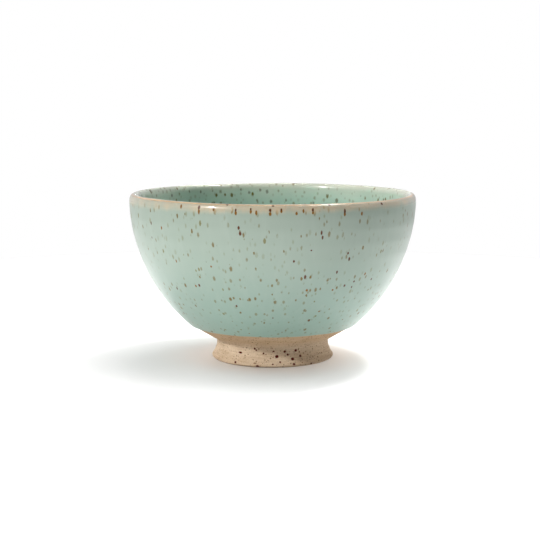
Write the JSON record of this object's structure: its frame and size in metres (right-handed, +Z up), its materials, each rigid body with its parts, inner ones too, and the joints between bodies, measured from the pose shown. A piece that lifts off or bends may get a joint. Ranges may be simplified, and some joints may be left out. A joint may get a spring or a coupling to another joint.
{
  "type": "rice bowl",
  "caption": "Round footed stoneware bowl with a flared bare-clay foot ring, celadon glaze inside and out, and a thin tan band at the lip.",
  "frame": {"origin": "centre of the plane that the foot ring stands on", "axes": "+Z up along the bowl's turning axis, towards the open mouth; X and Y lie in the table plane"},
  "size_m": [0.13, 0.13, 0.0756],
  "materials": {
    "foot_clay": "bare sandy stoneware, matte, with iron spots and turning lines",
    "bare_clay": "bare sandy stoneware, matte, with turning lines",
    "outer_glaze": "glossy pale celadon glaze with olive and rust specks",
    "inner_glaze": "glossy deeper celadon glaze, pooled towards the floor",
    "rim_glaze": "thin glossy glaze broken to tan over the lip"
  },
  "bodies": {
    "root": {"foot_ring": "foot_clay", "clay_bowl": "bare_clay", "outer_glaze": "outer_glaze", "inner_glaze": "inner_glaze", "rim_glaze": "rim_glaze"}
  },
  "joints": []
}
